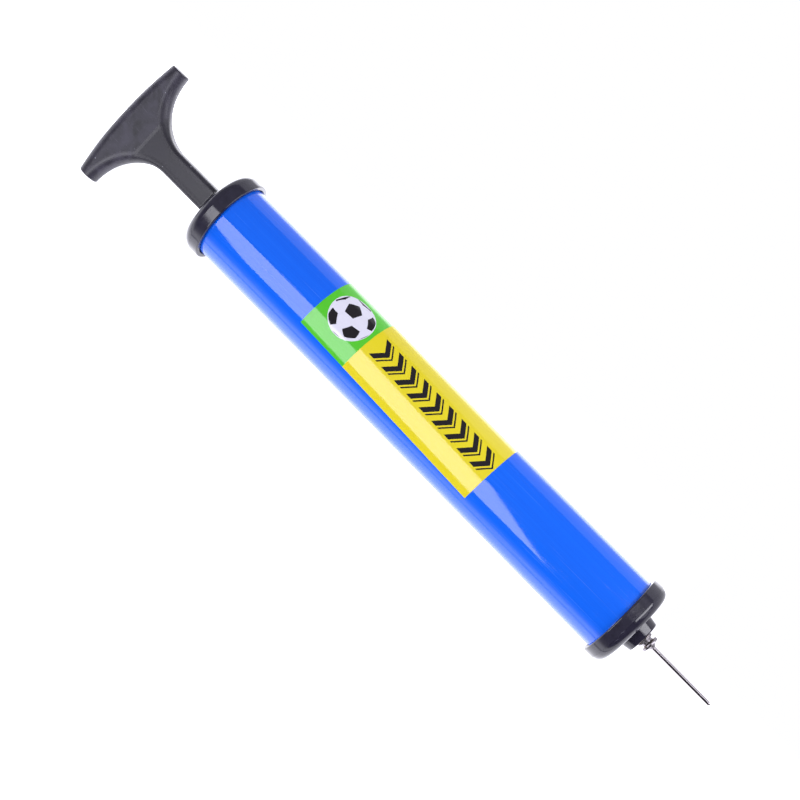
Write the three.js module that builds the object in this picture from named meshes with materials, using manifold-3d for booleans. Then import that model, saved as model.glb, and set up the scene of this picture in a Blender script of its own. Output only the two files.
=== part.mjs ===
// A hand pump for balls, with its inflation needle screwed in and its handle pushed home.
// Millimetres, +Z up. The pump lies along X on the rims of its two caps: handle at -X, needle at +X.
// A station is a place along X. Every round piece is centred on the pump's axis, which is parallel to X
// and one cap radius above the surface that the pump lies on. Pieces that touch keep CLEARANCE between them.

import * as THREE from 'three';
import { mergeVertices } from 'three/addons/utils/BufferGeometryUtils.js';
import Module from 'manifold-3d';

// Driving dimensions
const CLEARANCE = 0.3;
const CAP_RADIUS = 19.85;
const CAP_WALL = 2.4;
const TUBE_RADIUS = 17.5;
const TUBE_WALL = 1.6;
const HANDLE_CAP = { mouth: -103.5, rimEnd: -108.5, face: -112.4 };
const NEEDLE_CAP = { mouth: 120.7, rimEnd: 125.3, face: 129.0 };
const ROD_RADIUS = 3.0;
const HANDLE_BACK = -170.2;
const HANDLE_THICKNESS = 9.0;
const HANDLE_HALF_SPAN = 29.5;
const NECK_HALF_WIDTH = 5.5;
const NECK_END = -116.5;
const BOSS = { baseRadius: 8.15, endRadius: 7.35, end: 133.9 };
const THREAD_RADIUS = 3.55;
const NEEDLE_RADIUS = 0.9;
const NEEDLE_TIP = 170.2;

// Round pieces are prisms with this many sides. Each stated radius is the distance to a side, not to a corner.
const BIG_SIDES = 32;
const SMALL_SIDES = 24;
const TINY_SIDES = 12;

// Sizes that follow from the driving ones
const TUBE_BORE = TUBE_RADIUS - TUBE_WALL;
const CAP_SKIRT_BORE = TUBE_RADIUS + CLEARANCE;
const HANDLE_CAP_FLOOR = HANDLE_CAP.face + CAP_WALL;
const NEEDLE_CAP_FLOOR = NEEDLE_CAP.face - CAP_WALL;
const TUBE_START = HANDLE_CAP_FLOOR + CLEARANCE;

const wasm = await Module();
wasm.setup();

/** A closed three.js geometry as a solid that can be joined and cut. */
function toSolid(geometry) {
  const bare = geometry.clone();
  bare.deleteAttribute('normal');
  bare.deleteAttribute('uv');
  const merged = mergeVertices(bare);
  const corners = merged.index.array;
  const triangles = [];
  for (let i = 0; i < corners.length; i += 3) {
    const [a, b, c] = [corners[i], corners[i + 1], corners[i + 2]];
    const collapsed = a === b || b === c || c === a;
    if (!collapsed) {
      triangles.push(a, b, c);
    }
  }
  const vertProperties = Float32Array.from(merged.attributes.position.array);
  const triVerts = Uint32Array.from(triangles);
  return new wasm.Manifold(new wasm.Mesh({ numProp: 3, vertProperties, triVerts }));
}

/** The three.js geometry of a solid. */
function toGeometry(solid) {
  const { vertProperties, triVerts } = solid.getMesh();
  const geometry = new THREE.BufferGeometry();
  geometry.setAttribute('position', new THREE.BufferAttribute(Float32Array.from(vertProperties), 3));
  geometry.setIndex(new THREE.BufferAttribute(Uint32Array.from(triVerts), 1));
  geometry.computeVertexNormals();
  return geometry;
}

/** One geometry with the others taken away from it. */
function cut(geometry, ...tools) {
  let solid = toSolid(geometry);
  for (const tool of tools) {
    solid = solid.subtract(toSolid(tool));
  }
  return toGeometry(solid);
}

/**
 * A piece turned about the pump's axis. The profile is a list of [station, radius], run so that the
 * outside is passed towards +X, and it closes on itself unless it starts and ends on the axis.
 */
function turned(profile, sides) {
  const cornerScale = 1 / Math.cos(Math.PI / sides);
  const points = profile.map(([station, radius]) => new THREE.Vector2(radius * cornerScale, station));
  if (points[0].x > 0) {
    points.push(points[0].clone());
  }
  return new THREE.LatheGeometry(points, sides, Math.PI / sides).rotateZ(-Math.PI / 2);
}

/** A plain ring or washer between two stations. */
function ring(start, end, bore, radius, sides) {
  return turned([[start, bore], [start, radius], [end, radius], [end, bore]], sides);
}

/** A plain round bar between two stations. */
function bar(start, end, radius, sides) {
  return turned([[start, 0], [start, radius], [end, radius], [end, 0]], sides);
}

/** The [station, radius] points of a rounded corner, as an arc about a centre from one angle to another. */
function corner(station, radius, size, fromDegrees, toDegrees, steps) {
  const points = [];
  for (let i = 0; i <= steps; i++) {
    const angle = THREE.MathUtils.degToRad(THREE.MathUtils.lerp(fromDegrees, toDegrees, i / steps));
    points.push([station + size * Math.cos(angle), radius + size * Math.sin(angle)]);
  }
  return points;
}

/** A hexagon nut with a round hole, between two stations. */
function nut(start, end, acrossFlats, bore) {
  const outside = new THREE.CylinderGeometry(1, 1, end - start, 6);
  outside.scale(acrossFlats / Math.sqrt(3), 1, acrossFlats / Math.sqrt(3));
  outside.rotateZ(-Math.PI / 2).translate((start + end) / 2, 0, 0);
  return cut(outside, bar(start - 1, end + 1, bore, SMALL_SIDES));
}

// Finishes
const BLUE_PLASTIC = { color: 0x1c64fa, roughness: 0.22, metalness: 0 };
const BLACK_PLASTIC = { color: 0x2a2830, roughness: 0.3, metalness: 0 };
const HANDLE_PLASTIC = { color: 0x3a3840, roughness: 0.5, metalness: 0 };
const WHITE_PLASTIC = { color: 0xe6e2d8, roughness: 0.5, metalness: 0 };
const LABEL_FILM = { color: 0xfae828, roughness: 0.25, metalness: 0 };
const BLACK_RUBBER = { color: 0x17171a, roughness: 0.85, metalness: 0 };
const STEEL = { color: 0xb8babd, roughness: 0.3, metalness: 1 };
const NICKEL = { color: 0xc9c5bd, roughness: 0.2, metalness: 1 };
const BRASS = { color: 0xc9a24a, roughness: 0.35, metalness: 1 };

const pump = new THREE.Group();
const onAxis = new THREE.Group();
onAxis.position.z = CAP_RADIUS;
pump.add(onAxis);

function addPart(name, geometry, finish) {
  const mesh = new THREE.Mesh(geometry, new THREE.MeshStandardMaterial(finish));
  mesh.name = name;
  onAxis.add(mesh);
}

// ---- Barrel: the tube, its label and the two caps ----

const BARREL_GASKET = { start: NEEDLE_CAP_FLOOR - CLEARANCE - 0.8, end: NEEDLE_CAP_FLOOR - CLEARANCE };
const TUBE_END = BARREL_GASKET.start - CLEARANCE;

function barrelTube() {
  return ring(TUBE_START, TUBE_END, TUBE_BORE, TUBE_RADIUS, BIG_SIDES);
}

/** A thin sheet wrapped part of the way round the tube, a little skewed, as a label put on by hand. */
function labelSticker() {
  const start = -49.4;
  const end = 46.7;
  const thickness = 0.3;
  const wrapDegrees = 110;
  const middleDegrees = 28.5; // from straight up towards +Y
  const skewDegrees = -11; // from the handle's end of the label to the needle's end
  const radius = TUBE_RADIUS + CLEARANCE + thickness / 2;
  const sheet = new THREE.BoxGeometry(1, 1, thickness, 6, 16, 1);
  const place = sheet.attributes.position;
  for (let i = 0; i < place.count; i++) {
    const along = place.getX(i) + 0.5;
    const degrees = middleDegrees + wrapDegrees * place.getY(i) + skewDegrees * (along - 0.5);
    const angle = THREE.MathUtils.degToRad(degrees);
    const r = radius + place.getZ(i);
    place.setXYZ(i, THREE.MathUtils.lerp(start, end, along), r * Math.sin(angle), r * Math.cos(angle));
  }
  return sheet;
}

const BUSH_RADIUS = 6.0;
const SPIGOT_LENGTH = 5.0;
const SPIGOT_WALL = 2.0;

/** The cap at the handle's end: a skirt over the tube, a spigot inside it and a hole for the bush. */
function handleEndCap() {
  const cornerSize = HANDLE_CAP.rimEnd - HANDLE_CAP.face;
  const spigotRadius = TUBE_BORE - CLEARANCE;
  const hole = BUSH_RADIUS + CLEARANCE;
  return turned([
    [HANDLE_CAP.face, hole],
    ...corner(HANDLE_CAP.rimEnd, CAP_RADIUS - cornerSize, cornerSize, 180, 90, 4),
    [HANDLE_CAP.mouth, CAP_RADIUS],
    [HANDLE_CAP.mouth, CAP_SKIRT_BORE],
    [HANDLE_CAP_FLOOR, CAP_SKIRT_BORE],
    [HANDLE_CAP_FLOOR, spigotRadius],
    [HANDLE_CAP_FLOOR + SPIGOT_LENGTH, spigotRadius],
    [HANDLE_CAP_FLOOR + SPIGOT_LENGTH, spigotRadius - SPIGOT_WALL],
    [HANDLE_CAP_FLOOR, spigotRadius - SPIGOT_WALL],
    [HANDLE_CAP_FLOOR, hole],
  ], BIG_SIDES);
}

/** The cap at the needle's end: a skirt over the tube and a hole for the nozzle. */
function needleEndCap() {
  const cornerSize = NEEDLE_CAP.face - NEEDLE_CAP.rimEnd;
  const hole = BOSS.baseRadius + CLEARANCE;
  return turned([
    [NEEDLE_CAP_FLOOR, hole],
    [NEEDLE_CAP_FLOOR, CAP_SKIRT_BORE],
    [NEEDLE_CAP.mouth, CAP_SKIRT_BORE],
    [NEEDLE_CAP.mouth, CAP_RADIUS],
    ...corner(NEEDLE_CAP.rimEnd, CAP_RADIUS - cornerSize, cornerSize, 90, 0, 4),
    [NEEDLE_CAP.face, hole],
  ], BIG_SIDES);
}

const BUSH_FLANGE = { radius: 8.0, start: HANDLE_CAP_FLOOR + CLEARANCE, end: HANDLE_CAP_FLOOR + 1.8 };
const ROD_BORE = ROD_RADIUS + 0.35; // running clearance on the rod's corners as it turns

/** The bush that guides the rod, pushed into the handle-end cap from inside. */
function rodGuideBush() {
  return turned([
    [HANDLE_CAP.face + 0.2, ROD_BORE],
    [HANDLE_CAP.face + 0.2, BUSH_RADIUS],
    [BUSH_FLANGE.start, BUSH_RADIUS],
    [BUSH_FLANGE.start, BUSH_FLANGE.radius],
    [BUSH_FLANGE.end, BUSH_FLANGE.radius],
    [BUSH_FLANGE.end, ROD_BORE],
  ], SMALL_SIDES);
}

const BUMPER = { start: BUSH_FLANGE.end + CLEARANCE, end: HANDLE_CAP_FLOOR + SPIGOT_LENGTH + 0.4 };

/** The rubber ring that the piston meets when the handle is pulled right out. */
function stopBumper() {
  const radius = TUBE_BORE - CLEARANCE - SPIGOT_WALL - CLEARANCE;
  return ring(BUMPER.start, BUMPER.end, ROD_BORE + 1, radius, BIG_SIDES);
}

// ---- Outlet: the nozzle in the needle-end cap, its check valve and its threaded insert ----

const NOZZLE = {
  back: 120.0,
  flangeRadius: 12.5,
  seatPocket: { end: 121.6, radius: 8.5 },
  chamber: { end: 124.2, radius: 5.5 },
  grooveEnd: 125.0,
  portRadius: 1.6,
  socket: { start: 126.4, radius: 5.9 },
};
const NOZZLE_GASKET = { start: NOZZLE.socket.start + CLEARANCE, end: NOZZLE.socket.start + 1.2 };
const INSERT = { start: NOZZLE_GASKET.end + CLEARANCE, end: BOSS.end - CLEARANCE };

/** The ring that seals the end of the tube against the cap, outside the nozzle's flange. */
function barrelGasket() {
  const bore = NOZZLE.flangeRadius + CLEARANCE + 0.1;
  return ring(BARREL_GASKET.start, BARREL_GASKET.end, bore, TUBE_RADIUS, BIG_SIDES);
}

/** The nozzle: a flange behind the cap, a tapered boss in front, and the valve chamber inside. */
function outletNozzle() {
  const flangeEnd = NEEDLE_CAP_FLOOR - CLEARANCE;
  const body = turned([
    [NOZZLE.back, NOZZLE.seatPocket.radius],
    [NOZZLE.back, NOZZLE.flangeRadius],
    [flangeEnd, NOZZLE.flangeRadius],
    [flangeEnd, BOSS.baseRadius],
    [NEEDLE_CAP.face, BOSS.baseRadius],
    [BOSS.end - 0.4, BOSS.endRadius],
    [BOSS.end, BOSS.endRadius - 0.4],
    [BOSS.end, NOZZLE.socket.radius],
    [NOZZLE.socket.start, NOZZLE.socket.radius],
    [NOZZLE.socket.start, NOZZLE.portRadius],
    [NOZZLE.chamber.end, NOZZLE.portRadius],
    [NOZZLE.chamber.end, NOZZLE.chamber.radius],
    [NOZZLE.seatPocket.end, NOZZLE.chamber.radius],
    [NOZZLE.seatPocket.end, NOZZLE.seatPocket.radius],
  ], BIG_SIDES);
  // crossed grooves let the air past the disc when it lifts
  const depth = NOZZLE.grooveEnd - NOZZLE.chamber.end;
  const reach = 2 * NOZZLE.chamber.radius - 0.4;
  const grooves = [[reach, 1.2], [1.2, reach]].map(([wide, high]) => {
    const groove = new THREE.BoxGeometry(2 * depth, wide, high);
    return groove.translate(NOZZLE.chamber.end, 0, 0);
  });
  return cut(body, ...grooves);
}

const SEAT = { start: NOZZLE.back, end: NOZZLE.seatPocket.end - CLEARANCE };
const DISC_THICKNESS = 1.3;

/** The plate with the hole that the check-valve disc closes. */
function valveSeat() {
  const radius = NOZZLE.seatPocket.radius - CLEARANCE;
  return ring(SEAT.start, SEAT.end, NOZZLE.portRadius, radius, SMALL_SIDES);
}

function checkValveDisc() {
  const start = SEAT.end + CLEARANCE;
  return bar(start, start + DISC_THICKNESS, NOZZLE.chamber.radius - 0.6, SMALL_SIDES);
}

/** The ring at the bottom of the socket that the needle's foot screws down on. */
function nozzleGasket() {
  const radius = NOZZLE.socket.radius - CLEARANCE;
  return ring(NOZZLE_GASKET.start, NOZZLE_GASKET.end, NOZZLE.portRadius, radius, SMALL_SIDES);
}

/** The metal insert that holds the needle's thread, drawn at the thread's outside. */
function threadInsert() {
  const radius = NOZZLE.socket.radius - CLEARANCE;
  return ring(INSERT.start, INSERT.end, THREAD_RADIUS + 0.4, radius, SMALL_SIDES);
}

// ---- Needle: it screws into the insert ----

const NECK_RADIUS = 2.4;
const NEEDLE_FLANGE = { start: 136.7, end: 138.1, radius: 3.75 };
const NEEDLE_CONE_END = 139.3;
const NEEDLE_HOLE = 0.5;

/** The needle's base: a threaded shank, an undercut neck, a flange and a small cone. */
function needleBase() {
  const bore = NEEDLE_RADIUS + CLEARANCE;
  const edge = 0.3;
  return turned([
    [NOZZLE_GASKET.end + CLEARANCE, bore],
    [NOZZLE_GASKET.end + CLEARANCE, THREAD_RADIUS],
    [BOSS.end, THREAD_RADIUS],
    [BOSS.end, NECK_RADIUS],
    [NEEDLE_FLANGE.start, NECK_RADIUS],
    [NEEDLE_FLANGE.start, NEEDLE_FLANGE.radius - edge],
    [NEEDLE_FLANGE.start + edge, NEEDLE_FLANGE.radius],
    [NEEDLE_FLANGE.end - edge, NEEDLE_FLANGE.radius],
    [NEEDLE_FLANGE.end, NEEDLE_FLANGE.radius - edge],
    [NEEDLE_FLANGE.end, 2.1],
    [NEEDLE_CONE_END, bore + 0.3],
    [NEEDLE_CONE_END, bore],
  ], SMALL_SIDES);
}

/** The washer that stays on the needle's neck and meets the nozzle. */
function needleWasher() {
  return ring(BOSS.end + CLEARANCE, BOSS.end + 1.4, NECK_RADIUS + 0.35, 3.4, SMALL_SIDES);
}

/** The hollow needle, closed and rounded at its tip, with its air hole in the side. */
function needleTube() {
  const foot = 131.0;
  const holeStation = NEEDLE_TIP - 5.0;
  const tube = turned([
    [foot, NEEDLE_HOLE],
    [foot, NEEDLE_RADIUS],
    ...corner(NEEDLE_TIP - NEEDLE_RADIUS, 0, NEEDLE_RADIUS, 90, 0, 3),
    [NEEDLE_TIP - 2, 0],
    [NEEDLE_TIP - 2, NEEDLE_HOLE],
  ], TINY_SIDES);
  const sideHole = new THREE.CylinderGeometry(0.35, 0.35, 2, 8).translate(0, 1, 0);
  sideHole.rotateX(Math.PI / 2).translate(holeStation, 0, 0);
  return cut(tube, sideHole);
}

// ---- Piston: a cup held between a disc and a washer by two nuts on the rod ----

const NUT = { acrossFlats: 10.0, thickness: 5.0 };
const NUT_BORE = ROD_RADIUS + CLEARANCE;
const STACK_BORE = ROD_BORE;
const FRONT_NUT_END = NOZZLE.back - 1.4;
const FRONT_NUT_START = FRONT_NUT_END - NUT.thickness;
const WASHER = { start: FRONT_NUT_START - CLEARANCE - 1.2, end: FRONT_NUT_START - CLEARANCE, radius: 10.5 };
const CUP = { floorEnd: WASHER.start - CLEARANCE, floorThickness: 2.2, lipWall: 1.8, lipEnd: NOZZLE.back - 1.0 };
const CUP_START = CUP.floorEnd - CUP.floorThickness;
const DISC = { start: CUP_START - CLEARANCE - 3.0, end: CUP_START - CLEARANCE, radius: 15.0 };
const REAR_NUT_END = DISC.start - CLEARANCE;

/** The flexible cup: a flat floor and a lip that opens towards the needle. */
function pistonCup() {
  const radius = TUBE_BORE - CLEARANCE;
  const flare = 0.5;
  return turned([
    [CUP_START, STACK_BORE],
    [CUP_START, radius - flare - 0.8],
    [CUP_START + 0.8, radius - flare],
    [CUP.lipEnd, radius],
    [CUP.lipEnd, radius - CUP.lipWall],
    [CUP.floorEnd, radius - flare - CUP.lipWall],
    [CUP.floorEnd, STACK_BORE],
  ], BIG_SIDES);
}

function pistonBackingDisc() {
  return ring(DISC.start, DISC.end, STACK_BORE, DISC.radius, BIG_SIDES);
}

function pistonFrontWasher() {
  return ring(WASHER.start, WASHER.end, STACK_BORE, WASHER.radius, SMALL_SIDES);
}

const ROD_START = -140;

function pistonRod() {
  return bar(ROD_START, FRONT_NUT_END + 0.4, ROD_RADIUS, SMALL_SIDES);
}

// ---- Handle: a T moulded on the end of the rod ----

const FILLET = { station: -138.6, along: 20.5, across: HANDLE_HALF_SPAN - NECK_HALF_WIDTH };
const BACK_BULGE = 2.4; // how far the middle of the back stands beyond its ends
const HANDLE_BEVEL = 2.4;
const PANEL = { start: -153.6, depth: 0.6, halfWidth: 3.5, flare: 6.0 };
const CURVE_STEPS = 12;

/** The curve of one finger side, between the neck and the end of the bar. side is 1 for +Y and -1 for -Y. */
function addFillet(shape, side, along, across, fromDegrees, toDegrees) {
  const [from, to] = [fromDegrees, toDegrees].map(THREE.MathUtils.degToRad);
  shape.absellipse(FILLET.station, side * HANDLE_HALF_SPAN, along, across, from, to, true);
}

function handleOutline() {
  const bulgeRadius = (HANDLE_HALF_SPAN ** 2 + BACK_BULGE ** 2) / (2 * BACK_BULGE);
  const bulgeAngle = Math.asin(HANDLE_HALF_SPAN / bulgeRadius);
  const shape = new THREE.Shape();
  shape.moveTo(NECK_END, -NECK_HALF_WIDTH);
  shape.lineTo(NECK_END, NECK_HALF_WIDTH);
  addFillet(shape, 1, FILLET.along, FILLET.across, 270, 180);
  shape.absarc(HANDLE_BACK + bulgeRadius, 0, bulgeRadius, Math.PI - bulgeAngle, Math.PI + bulgeAngle, false);
  addFillet(shape, -1, FILLET.along, FILLET.across, 180, 90);
  shape.closePath();
  return shape;
}

/** The shallow flat panel that starts at a step below the bar and runs down the neck. */
function panelOutline() {
  const along = FILLET.along + PANEL.flare;
  const across = HANDLE_HALF_SPAN - PANEL.halfWidth;
  const stepAngle = THREE.MathUtils.radToDeg(Math.acos((PANEL.start - FILLET.station) / along));
  const past = NECK_END + 2;
  const shape = new THREE.Shape();
  shape.moveTo(past, -PANEL.halfWidth);
  shape.lineTo(past, PANEL.halfWidth);
  addFillet(shape, 1, along, across, 270, 360 - stepAngle);
  addFillet(shape, -1, along, across, stepAngle, 90);
  shape.closePath();
  return shape;
}

function handle() {
  const body = new THREE.ExtrudeGeometry(handleOutline(), {
    depth: HANDLE_THICKNESS - 2 * HANDLE_BEVEL,
    curveSegments: CURVE_STEPS,
    bevelThickness: HANDLE_BEVEL,
    bevelSize: HANDLE_BEVEL,
    bevelOffset: -HANDLE_BEVEL,
    bevelSegments: 3,
  });
  body.translate(0, 0, HANDLE_BEVEL - HANDLE_THICKNESS / 2);
  const panels = [-1, 1].map((side) => {
    const height = 2;
    const panel = new THREE.ExtrudeGeometry(panelOutline(), {
      depth: height,
      curveSegments: CURVE_STEPS,
      bevelEnabled: false,
    });
    const middle = side * (HANDLE_THICKNESS / 2 - PANEL.depth + height / 2);
    return panel.translate(0, 0, middle - height / 2);
  });
  const rodHole = bar(ROD_START - CLEARANCE, NECK_END + 1, ROD_RADIUS + CLEARANCE, SMALL_SIDES);
  return cut(body, ...panels, rodHole);
}

addPart('barrel_tube', barrelTube(), BLUE_PLASTIC);
addPart('label_sticker', labelSticker(), LABEL_FILM);
addPart('handle_end_cap', handleEndCap(), BLACK_PLASTIC);
addPart('needle_end_cap', needleEndCap(), BLACK_PLASTIC);
addPart('rod_guide_bush', rodGuideBush(), WHITE_PLASTIC);
addPart('stop_bumper', stopBumper(), BLACK_RUBBER);
addPart('barrel_gasket', barrelGasket(), BLACK_RUBBER);
addPart('outlet_nozzle', outletNozzle(), BLACK_PLASTIC);
addPart('valve_seat', valveSeat(), WHITE_PLASTIC);
addPart('check_valve_disc', checkValveDisc(), BLACK_RUBBER);
addPart('nozzle_gasket', nozzleGasket(), BLACK_RUBBER);
addPart('thread_insert', threadInsert(), BRASS);
addPart('needle_washer', needleWasher(), NICKEL);
addPart('needle_base', needleBase(), NICKEL);
addPart('needle_tube', needleTube(), NICKEL);
addPart('handle', handle(), HANDLE_PLASTIC);
addPart('piston_rod', pistonRod(), STEEL);
addPart('piston_rear_nut', nut(REAR_NUT_END - NUT.thickness, REAR_NUT_END, NUT.acrossFlats, NUT_BORE), STEEL);
addPart('piston_backing_disc', pistonBackingDisc(), WHITE_PLASTIC);
addPart('piston_cup', pistonCup(), BLACK_RUBBER);
addPart('piston_front_washer', pistonFrontWasher(), STEEL);
addPart('piston_front_nut', nut(FRONT_NUT_START, FRONT_NUT_END, NUT.acrossFlats, NUT_BORE), STEEL);

export default pump;
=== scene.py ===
"""The looks of a hand pump for balls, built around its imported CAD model.

Design sizes are in millimetres. A station is a place along X, and radii are from the pump's axis.
"""

import math

import bmesh
import bpy
import numpy as np
from mathutils import Matrix, Vector


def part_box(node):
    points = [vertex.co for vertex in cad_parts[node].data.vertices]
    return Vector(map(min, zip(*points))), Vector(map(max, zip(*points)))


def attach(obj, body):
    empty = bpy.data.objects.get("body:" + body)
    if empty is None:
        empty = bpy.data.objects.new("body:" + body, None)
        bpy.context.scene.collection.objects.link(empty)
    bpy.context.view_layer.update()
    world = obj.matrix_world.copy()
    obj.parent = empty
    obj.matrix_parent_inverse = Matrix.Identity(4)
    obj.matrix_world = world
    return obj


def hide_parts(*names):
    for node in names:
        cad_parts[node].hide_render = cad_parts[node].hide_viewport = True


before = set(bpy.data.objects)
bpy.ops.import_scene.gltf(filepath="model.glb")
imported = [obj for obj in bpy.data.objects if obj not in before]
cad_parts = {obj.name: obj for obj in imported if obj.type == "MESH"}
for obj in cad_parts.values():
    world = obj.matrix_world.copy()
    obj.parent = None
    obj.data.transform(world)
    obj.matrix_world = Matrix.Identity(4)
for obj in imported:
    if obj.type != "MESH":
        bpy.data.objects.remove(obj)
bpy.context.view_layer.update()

MM = 0.001


def span(node):
    """The stations where a CAD node starts and ends."""
    low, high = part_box(node)
    return low.x / MM, high.x / MM


def radius_of(node):
    """The outer radius of a round CAD node."""
    low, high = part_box(node)
    return (high.y - low.y) / 2 / MM


AXIS_HEIGHT = sum(corner.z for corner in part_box("barrel_tube")) / 2 / MM
FROM_AXIS = Matrix.Translation((0, 0, AXIS_HEIGHT * MM)) @ Matrix.Scale(MM, 4)

TUBE_RADIUS = radius_of("barrel_tube")
TUBE_WALL = 1.6
CAP_RADIUS = radius_of("handle_end_cap")
CAP_WALL = 2.4
BUSH_RADIUS = 6.0
BOSS_RADIUS = 8.15
FIT_GAP = 0.3
PANEL_START = -153.6  # the station where the handle's shallow panel begins
SMOOTH_ANGLE = math.radians(32)  # edges sharper than this are shaded as edges


# ---------------------------------------------------------------- camera

CAMERA_TARGET = (-1.4, -2.25, AXIS_HEIGHT)
CAMERA_DISTANCE = 606.0
CAMERA_LENS = 67.14
CAMERA_TOWARDS_NEEDLE = math.radians(7.4)
CAMERA_TOWARDS_SIDE = math.radians(8.0)
PUMP_ANGLE_IN_VIEW = math.radians(45.3)


def add_camera():
    """The camera, placed by how it looks down on the pump and how the pump lies across its view."""
    lean, side = CAMERA_TOWARDS_NEEDLE, CAMERA_TOWARDS_SIDE
    back = Vector((math.sin(lean), math.cos(lean) * math.sin(side), math.cos(lean) * math.cos(side)))
    along = Vector((1, 0, 0))
    along = (along - back * along.dot(back)).normalized()
    across = back.cross(along)
    turn = PUMP_ANGLE_IN_VIEW
    right = math.cos(turn) * along + math.sin(turn) * across
    up = math.cos(turn) * across - math.sin(turn) * along
    camera = bpy.data.objects.new("camera", bpy.data.cameras.new("camera"))
    camera.data.lens = CAMERA_LENS
    camera.data.clip_start = 0.01
    place = (Vector(CAMERA_TARGET) + CAMERA_DISTANCE * back) * MM
    camera.matrix_world = Matrix.Translation(place) @ Matrix((right, up, back)).transposed().to_4x4()
    bpy.context.scene.collection.objects.link(camera)
    bpy.context.scene.camera = camera


# ---------------------------------------------------------------- materials


class Look:
    """A material being built. Textures are placed in the row frame, so they move with their piece."""

    def __init__(self, name, **sockets):
        self.material = bpy.data.materials.new(name)
        self.material.use_nodes = True
        self.tree = self.material.node_tree
        self.shader = self.tree.nodes["Principled BSDF"]
        for socket, value in sockets.items():
            self.feed(self.shader.inputs[socket.replace("_", " ")], value)

    def feed(self, socket, value):
        if isinstance(value, bpy.types.NodeSocket):
            self.tree.links.new(value, socket)
        else:
            socket.default_value = value

    def node(self, kind, inputs, **settings):
        node = self.tree.nodes.new(kind)
        for name, value in settings.items():
            setattr(node, name, value)
        for socket, value in inputs.items():
            self.feed(node.inputs[socket], value)
        return node

    def place(self):
        return self.node("ShaderNodeTexCoord", {}).outputs["Object"]

    def noise(self, along, across, detail=4.0, seed=0.0, distortion=0.0):
        """Noise from 0 to 1, with features of about these sizes in millimetres."""
        sizes = (1 / (along * MM), 1 / (across * MM), 1 / (across * MM))
        mapped = self.node("ShaderNodeMapping", {"Vector": self.place(), "Scale": sizes})
        settings = {"Vector": mapped.outputs[0], "Scale": 1.0, "Detail": detail, "W": seed,
                    "Distortion": distortion}
        return self.node("ShaderNodeTexNoise", settings, noise_dimensions="4D").outputs[0]

    def specks(self, spacing, size, seed=0.0):
        """1 on scattered round specks of about this size, and 0 elsewhere."""
        moved = self.node("ShaderNodeMapping", {"Vector": self.place(), "Location": (seed, seed, seed)})
        cells = self.node("ShaderNodeTexVoronoi", {"Vector": moved.outputs[0], "Scale": 1 / (spacing * MM)})
        return self.ramp(cells.outputs["Distance"], size / spacing, 0.6 * size / spacing)

    def ramp(self, value, start, end, low=0.0, high=1.0):
        """value taken from start..end to low..high, and held there outside."""
        inputs = {"Value": value, "From Min": start, "From Max": end, "To Min": low, "To Max": high}
        return self.node("ShaderNodeMapRange", inputs).outputs[0]

    def maths(self, operation, a, b):
        return self.node("ShaderNodeMath", {0: a, 1: b}, operation=operation).outputs[0]

    def mix(self, factor, a, b):
        mixed = self.node("ShaderNodeMix", {0: factor, 6: a, 7: b}, data_type="RGBA")
        return mixed.outputs[2]

    def bump(self, height, depth, under=None):
        """Relief of this depth in millimetres, on top of another relief."""
        inputs = {"Height": height, "Distance": depth * MM, "Strength": 1.0}
        if under is not None:
            inputs["Normal"] = under
        return self.node("ShaderNodeBump", inputs).outputs[0]

    def set(self, **sockets):
        for socket, value in sockets.items():
            self.feed(self.shader.inputs[socket.replace("_", " ")], value)
        return self.material


def colour(red, green, blue):
    """A linear colour from the 0 to 255 values that a screen shows."""
    values = (red, green, blue)
    return tuple(((v / 255 + 0.055) / 1.055) ** 2.4 if v > 10 else v / (255 * 12.92) for v in values) + (1,)


def blue_plastic():
    """Glossy blue plastic, streaked and scratched along the tube, with a few dark specks."""
    look = Look("blue_plastic", IOR=1.5)
    streaks = look.noise(90, 0.7, detail=3)
    scratches = look.ramp(look.noise(35, 0.22, detail=2, seed=3), 0.66, 0.74)
    rubs = look.ramp(look.noise(60, 0.5, detail=1, seed=9), 0.68, 0.78)
    scratches = look.maths("MAXIMUM", scratches, rubs)
    blotches = look.noise(14, 7, seed=5)
    base = look.mix(look.ramp(streaks, 0.3, 0.7), colour(8, 99, 238), colour(12, 105, 244))
    base = look.mix(look.maths("MULTIPLY", scratches, 0.35), base, colour(110, 160, 250))
    base = look.mix(look.maths("MULTIPLY", look.specks(45, 0.5, seed=0.02), 0.8), base, colour(8, 40, 120))
    polish = look.ramp(blotches, 0.3, 0.7, 0.04, 0.07)
    rough = look.maths("ADD", polish, look.maths("MULTIPLY", scratches, 0.2))
    relief = look.bump(look.noise(60, 5, detail=1, seed=7), 0.02)
    relief = look.bump(streaks, 0.003, relief)
    relief = look.bump(scratches, -0.004, relief)
    return look.set(Base_Color=base, Roughness=rough, Normal=relief)


def printed_film(name, ink, faded):
    """Glossy printed film, uneven between two shades of its ink."""
    look = Look(name, IOR=1.5)
    grain = look.noise(0.5, 0.5, detail=2)
    wash = look.noise(25, 12, seed=2)
    base = look.mix(look.ramp(look.maths("ADD", grain, wash), 0.8, 1.2, 0, 0.5), ink, faded)
    relief = look.bump(look.noise(40, 5, detail=1, seed=7), 0.02)
    relief = look.bump(grain, 0.002, relief)
    return look.set(Base_Color=base, Roughness=look.ramp(wash, 0.3, 0.7, 0.08, 0.14), Normal=relief)


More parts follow.
